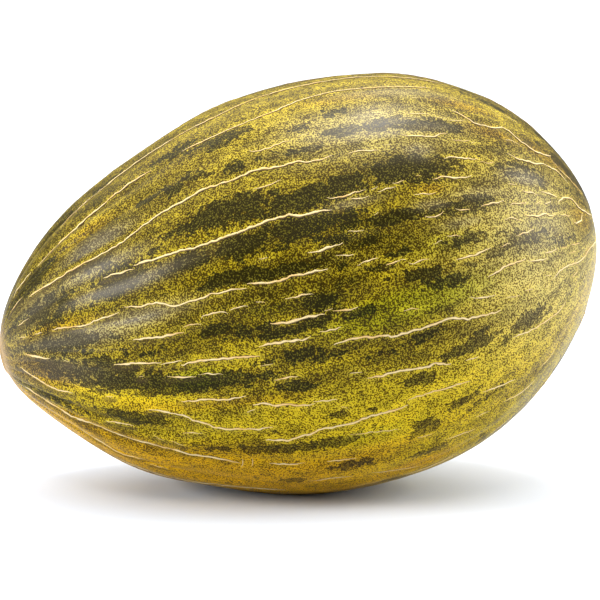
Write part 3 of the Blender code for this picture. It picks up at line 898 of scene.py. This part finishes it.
def paintRind():
    # lighter belly and underside: the ground spot, with painted bounce light from the floor
    tone = tones["plain"] + tones["belly"] * belowEdge(tones["bellyEdge"])
    under = fadeToBlossom(tones["underFade"], tones["underAtBlossom"])
    tone += tones["under"] * under * belowEdge(tones["underEdge"])
    storeField("tone", tone + tones["golden"] * patchField("golden") + sum(patchSpreads("broad")))
    storeField("dark", patchField("dark"))
    warm = fadeToBlossom(tones["warmFade"], tones["warmAtBlossom"]) * belowEdge(tones["warmEdge"])
    storeField("warm", np.maximum(patchField("warm"), warm))
    storeField("green", patchField("green"))
    # painted sheen: the upper flanks and the listed streaks get a grey wax veil and more gloss
    topBloomAndSheen = tones["topBloomAndSheen"] * (1.0 - belowEdge(tones["bloomAndSheenEdge"]))
    storeField("bloomAndSheen", np.maximum(patchField("bloomAndSheen"), topBloomAndSheen))
    halo, shade = besideCracks()
    storeField("halo", halo)
    # painted shade: a dark line below each crack, strongest towards the stem
    storeField("shade", shade)
    storeField("stemTip", np.exp(-((rindStation + 1.0) / tones["stemTipReach"]) ** 2))
    scarRadius = np.where(rindStation < 0.0, relief["stemScarRadius"], relief["blossomPadRadius"])
    storeField("scar", np.exp(-(smoothRadius(rindStation) / scarRadius) ** relief["scarSharpness"]))
    flow = rind.data.attributes.new("flow", "FLOAT_VECTOR", "POINT")
    flow.data.foreach_set("vector", flowPlace(rindStation, rindAngle).astype(np.float32).ravel())


paintRind()
print("rind painted")


# Materials

def newMaterial(name):
    material = bpy.data.materials.new(name)
    material.use_nodes = True
    tree = material.node_tree
    return material, tree, tree.nodes["Principled BSDF"]


def feed(tree, value, socket):
    if isinstance(value, bpy.types.NodeSocket):
        tree.links.new(value, socket)
    else:
        socket.default_value = value


def mathNode(tree, operation, *values):
    node = tree.nodes.new("ShaderNodeMath")
    node.operation = operation
    for value, socket in zip(values, node.inputs):
        feed(tree, value, socket)
    return node.outputs[0]


def mixColour(tree, factor, first, second, blend="MIX"):
    node = tree.nodes.new("ShaderNodeMix")
    node.data_type = "RGBA"
    node.blend_type = blend
    feed(tree, factor, node.inputs["Factor"])
    feed(tree, first, node.inputs[6])     # the node's colour sockets have only these numbers
    feed(tree, second, node.inputs[7])
    return node.outputs[2]


def smoothStep(tree, value, low, high, bottom=0.0, top=1.0):
    node = tree.nodes.new("ShaderNodeMapRange")
    node.interpolation_type = "SMOOTHSTEP"
    for setting, socket in zip((value, low, high, bottom, top), node.inputs):
        feed(tree, setting, socket)
    return node.outputs["Result"]


def noiseNode(tree, vector, size, detail=2.0, roughness=0.5):
    node = tree.nodes.new("ShaderNodeTexNoise")
    feed(tree, vector, node.inputs["Vector"])
    node.inputs["Scale"].default_value = 1.0 / size
    node.inputs["Detail"].default_value = detail
    node.inputs["Roughness"].default_value = roughness
    return node.outputs[0]


def colourRamp(tree, value, stops):
    node = tree.nodes.new("ShaderNodeValToRGB")
    feed(tree, value, node.inputs[0])
    marks = node.color_ramp.elements
    while len(marks) < len(stops):
        marks.new(0.5)
    for mark, (place, colour) in zip(marks, stops):
        mark.position = place
        mark.color = colour
    return node.outputs[0]


def attribute(tree, name, output="Fac"):
    node = tree.nodes.new("ShaderNodeAttribute")
    node.attribute_name = name
    return node.outputs[output]


def stretched(tree, vector, scale):
    node = tree.nodes.new("ShaderNodeMapping")
    feed(tree, vector, node.inputs["Vector"])
    node.inputs["Scale"].default_value = scale
    return node.outputs[0]


def swings(tree, total, parts):
    # the total, moved up and down by each part's swing round a half
    for source, weight in parts:
        total = mathNode(tree, "MULTIPLY_ADD", source, weight, total)
    return mathNode(tree, "SUBTRACT", total, sum(weight for source, weight in parts) / 2.0)


def buildGrain():
    # fine noise of a given size, as a value and as a bumpy normal
    group = bpy.data.node_groups.new("fineGrain", "ShaderNodeTree")
    group.interface.new_socket("Place", in_out="INPUT", socket_type="NodeSocketVector")
    for name in ("Size", "Detail", "Bump", "Height"):
        group.interface.new_socket(name, in_out="INPUT", socket_type="NodeSocketFloat")
    group.interface.new_socket("Grain", in_out="OUTPUT", socket_type="NodeSocketFloat")
    group.interface.new_socket("Normal", in_out="OUTPUT", socket_type="NodeSocketVector")
    given = group.nodes.new("NodeGroupInput").outputs
    texture = group.nodes.new("ShaderNodeTexNoise")
    feed(group, given["Place"], texture.inputs["Vector"])
    feed(group, mathNode(group, "DIVIDE", 1.0, given["Size"]), texture.inputs["Scale"])
    feed(group, given["Detail"], texture.inputs["Detail"])
    bump = group.nodes.new("ShaderNodeBump")
    feed(group, given["Bump"], bump.inputs["Strength"])
    feed(group, given["Height"], bump.inputs["Distance"])
    feed(group, texture.outputs[0], bump.inputs["Height"])
    made = group.nodes.new("NodeGroupOutput").inputs
    feed(group, texture.outputs[0], made["Grain"])
    feed(group, bump.outputs[0], made["Normal"])
    return group


grainGroup = buildGrain()


def placeGrain(tree, place, values):
    node = tree.nodes.new("ShaderNodeGroup")
    node.node_tree = grainGroup
    feed(tree, place, node.inputs["Place"])
    for name, value in values.items():
        node.inputs[name].default_value = value
    return node.outputs["Grain"], node.outputs["Normal"]


skin = {
    "grain": {"Size": 0.00061, "Detail": 1.0, "Bump": 0.30, "Height": 0.00010},
    "grainMiddle": 0.5,           # of the grain's own values, where dark specks turn to light ones
    "grainEdge": 0.060,           # half the width of that step
    "grainShift": 0.16,           # how far the tone moves that step
    "blotchSize": 0.0060,
    "bandSize": 0.011,
    "bandStretch": (0.22, 1.0, 1.0),
    "hueSize": 0.024,
    "noiseDetail": 3.0,           # of the blotches and the bands, as the next one is
    "noiseRoughness": 0.7,
    "blotch": 0.80,               # how far each noise moves the tone
    "bands": 0.90,
    "darkBlotch": 1.9,            # how far each noise moves the edges of the dark patches
    "darkBands": 2.0,
    "raggedSize": 0.0022,
    "ragged": 0.8,
    "darkEdge": (0.43, 0.60),
    "darkShift": -0.46,
    "haloLift": 0.12,
    "darkSpecks": (               # by tone, from dark patches to golden ones
        (0.00, (0.014, 0.0105, 0.0005, 1.0)),
        (0.30, (0.037, 0.022, 0.0005, 1.0)),
        (0.55, (0.080, 0.047, 0.0005, 1.0)),
        (1.00, (0.150, 0.084, 0.0010, 1.0)),
    ),
    "lightSpecks": (
        (0.00, (0.093, 0.077, 0.006, 1.0)),
        (0.30, (0.225, 0.166, 0.006, 1.0)),
        (0.55, (0.430, 0.325, 0.009, 1.0)),
        (1.00, (0.720, 0.500, 0.009, 1.0)),
    ),
    "paleSheenSpecks": (               # light specks under full bloom, paled grey as painted sheen
        (0.00, (0.115, 0.096, 0.045, 1.0)),
        (0.30, (0.243, 0.207, 0.090, 1.0)),
        (0.55, (0.455, 0.397, 0.165, 1.0)),
        (1.00, (0.680, 0.570, 0.250, 1.0)),
    ),
    "tints": (
        ("green", (0.81, 0.95, 0.58, 1.0)),
        ("warm", (1.00, 0.78, 0.30, 1.0)),
    ),
    "tintEdge": (0.60, 1.30),     # of the painted share and the hue noise together
    "haloGold": (0.480, 0.390, 0.040, 1.0),
    "haloShare": 0.35,
    "veils": (                    # over all specks alike: the most of each, and its colour
        # painted shade: a dark brown line below each crack
        ("shade", 0.75, (0.045, 0.030, 0.010, 1.0)),
        # painted sheen: a grey veil over the specks where the bloom lies
        ("bloomAndSheen", 0.17, (0.262, 0.203, 0.120, 1.0)),
    ),
    "tipTan": (0.400, 0.240, 0.070, 1.0),
    "tipShares": (0.55, 1.00),    # of the tan on dark specks and on light ones
    "scarRings": (                # from the rim of a scar to its middle
        (0.10, (0.050, 0.030, 0.012, 1.0)),
        (0.45, (0.300, 0.205, 0.105, 1.0)),
        (0.75, (0.170, 0.110, 0.055, 1.0)),
        (0.97, (0.340, 0.250, 0.145, 1.0)),
    ),
    "scarDark": (0.070, 0.045, 0.022, 1.0),
    "scarEdge": (0.04, 0.22),
    "roughness": (0.32, 0.44),    # of the dark specks and of the light ones
    "roughnessEdge": (0.3, 0.7),
    "specular": (0.05, 0.17),     # of plain skin and of skin with bloom and sheen
}


def rindMaterial():
    material, tree, shader = newMaterial("waxyRind")
    place = tree.nodes.new("ShaderNodeTexCoord").outputs["Object"]
    flow = attribute(tree, "flow", "Vector")
    grain, normal = placeGrain(tree, place, skin["grain"])
    run = stretched(tree, flow, skin["bandStretch"])
    fineness = skin["noiseDetail"], skin["noiseRoughness"]
    blotch = noiseNode(tree, place, skin["blotchSize"], *fineness)
    bands = noiseNode(tree, run, skin["bandSize"], *fineness)
    hue = noiseNode(tree, run, skin["hueSize"])

    halo = attribute(tree, "halo")
    ragged = noiseNode(tree, place, skin["raggedSize"])
    edges = ((blotch, skin["darkBlotch"]), (bands, skin["darkBands"]), (ragged, skin["ragged"]))
    shadow = smoothStep(tree, swings(tree, attribute(tree, "dark"), edges), *skin["darkEdge"])
    tone = swings(tree, attribute(tree, "tone"), ((blotch, skin["blotch"]), (bands, skin["bands"])))
    tone = mathNode(tree, "MULTIPLY_ADD", shadow, skin["darkShift"], tone)
    tone = mathNode(tree, "MULTIPLY_ADD", halo, skin["haloLift"], tone)
    middle, edge = skin["grainMiddle"], skin["grainEdge"]
    offset = mathNode(tree, "SUBTRACT", tone, middle)
    shifted = mathNode(tree, "MULTIPLY_ADD", offset, skin["grainShift"], grain)
    light = smoothStep(tree, shifted, middle - edge, middle + edge)
    dark = colourRamp(tree, tone, skin["darkSpecks"])
    # painted sheen: under the bloom the light specks turn pale grey
    bloomAndSheen = attribute(tree, "bloomAndSheen")
    sheenPale = colourRamp(tree, tone, skin["paleSheenSpecks"])
    gold = mixColour(tree, bloomAndSheen, colourRamp(tree, tone, skin["lightSpecks"]), sheenPale)
    gold = mixColour(tree, mathNode(tree, "MULTIPLY", halo, skin["haloShare"]), gold, skin["haloGold"])
    colour = mixColour(tree, light, dark, gold)

    for name, tint in skin["tints"]:
        share = smoothStep(tree, mathNode(tree, "ADD", attribute(tree, name), hue), *skin["tintEdge"])
        colour = mixColour(tree, share, colour, tint, "MULTIPLY")
    # veils over the colour: a painted shade line below the cracks, and a grey bloom that is partly painted
    # sheen
    for name, most, veil in skin["veils"]:
        share = mathNode(tree, "MULTIPLY", attribute(tree, name), most)
        colour = mixColour(tree, share, colour, veil)
    onSpecks = smoothStep(tree, light, 0.0, 1.0, *skin["tipShares"])
    tan = mathNode(tree, "MULTIPLY", attribute(tree, "stemTip"), onSpecks)
    colour = mixColour(tree, tan, colour, skin["tipTan"])
    scar = attribute(tree, "scar")
    rings = mixColour(tree, light, skin["scarDark"], colourRamp(tree, scar, skin["scarRings"]))
    colour = mixColour(tree, smoothStep(tree, scar, *skin["scarEdge"]), colour, rings)
    tree.links.new(colour, shader.inputs["Base Color"])
    rough = smoothStep(tree, grain, *skin["roughnessEdge"], *skin["roughness"])
    tree.links.new(rough, shader.inputs["Roughness"])
    gloss = smoothStep(tree, bloomAndSheen, 0.0, 1.0, *skin["specular"])
    tree.links.new(gloss, shader.inputs["Specular IOR Level"])
    tree.links.new(normal, shader.inputs["Normal"])
    return material


corkLook = {
    "cream": (0.620, 0.475, 0.220, 1.0),
    "tan": (0.560, 0.350, 0.100, 1.0),
    "edgeBrownAndShade": (0.090, 0.050, 0.008, 1.0),
    "lowerShadeShift": 0.20,            # painted shade: the lower edge is the darker one
    "edge": (0.38, 0.80),
    "toneSize": 0.012,
    "toneEdge": (0.42, 0.72),
    "grainSwing": 0.5,
    "grain": {"Size": 0.0006, "Detail": 2.0, "Bump": 0.5, "Height": 0.00010},
    "roughness": 0.72,
}


def corkMaterial():
    material, tree, shader = newMaterial("corkCream")
    place = tree.nodes.new("ShaderNodeTexCoord").outputs["Object"]
    tone = noiseNode(tree, place, corkLook["toneSize"])
    grain, normal = placeGrain(tree, place, corkLook["grain"])
    mixed = smoothStep(tree, swings(tree, tone, ((grain, corkLook["grainSwing"]),)), *corkLook["toneEdge"])
    colour = mixColour(tree, mixed, corkLook["cream"], corkLook["tan"])
    # a brown rim round each crack, darker on its lower side as painted shade
    across = mathNode(tree, "ADD", attribute(tree, "side"), corkLook["lowerShadeShift"])
    edge = smoothStep(tree, mathNode(tree, "ABSOLUTE", across), *corkLook["edge"])
    colour = mixColour(tree, edge, colour, corkLook["edgeBrownAndShade"])
    tree.links.new(colour, shader.inputs["Base Color"])
    tree.links.new(normal, shader.inputs["Normal"])
    shader.inputs["Roughness"].default_value = corkLook["roughness"]
    return material


rind.data.materials.append(rindMaterial())
corkCracks.data.materials.append(corkMaterial())
print("materials made")


# Studio

studio = {
    "floorSize": 8.0,
    "floorColour": (0.76, 0.80, 0.88, 1.0),    # evens out the warm light that the fruit throws on it
    "floorRoughness": 0.9,
    "floorSpecular": 0.1,
    "world": (1.0, 1.0, 1.0, 1.0),
    "worldStrength": 0.30,
    "softboxes": (                # name, place, aim, size and power
        ("ceiling", (0.0, 1.5, 3.0), (0.0, 1.5, 0.0), 8.0, 350.0),
        ("top", (0.05, 0.20, 1.30), (0.0, 0.0, 0.08), 0.45, 16.0),
        ("front", (-0.15, -1.10, 1.20), (0.0, 0.0, 0.08), 0.4, 4.0),
        ("left", (-1.45, -0.38, 0.50), (0.0, 0.0, 0.08), 0.55, 21.0),
        ("right", (1.45, 0.10, 0.60), (0.0, 0.0, 0.08), 0.8, 20.0),
    ),
}


def buildFloor():
    shape = bmesh.new()
    bmesh.ops.create_grid(shape, x_segments=1, y_segments=1, size=studio["floorSize"])
    mesh = bpy.data.meshes.new("floor")
    shape.to_mesh(mesh)
    shape.free()
    material, tree, shader = newMaterial("paleFloor")
    shader.inputs["Base Color"].default_value = studio["floorColour"]
    shader.inputs["Roughness"].default_value = studio["floorRoughness"]
    shader.inputs["Specular IOR Level"].default_value = studio["floorSpecular"]
    mesh.materials.append(material)
    floor = bpy.data.objects.new("floor", mesh)
    bpy.context.scene.collection.objects.link(floor)
    return floor


def addSoftbox(name, place, aim, size, power):
    data = bpy.data.lights.new(name, "AREA")
    data.shape = "SQUARE"
    data.size = size
    data.energy = power
    softbox = bpy.data.objects.new(name, data)
    softbox.location = place
    softbox.rotation_euler = (Vector(aim) - Vector(place)).to_track_quat("-Z", "Y").to_euler()
    bpy.context.scene.collection.objects.link(softbox)


def lightStudio():
    world = bpy.data.worlds.new("studio")
    world.use_nodes = True
    background = world.node_tree.nodes["Background"]
    background.inputs["Color"].default_value = studio["world"]
    background.inputs["Strength"].default_value = studio["worldStrength"]
    bpy.context.scene.world = world
    for softbox in studio["softboxes"]:
        addSoftbox(*softbox)
    bpy.context.scene.view_settings.view_transform = "Standard"


floor = buildFloor()
lightStudio()
for piece in (rind, corkCracks):
    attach(piece, "root")
    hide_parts("melon")
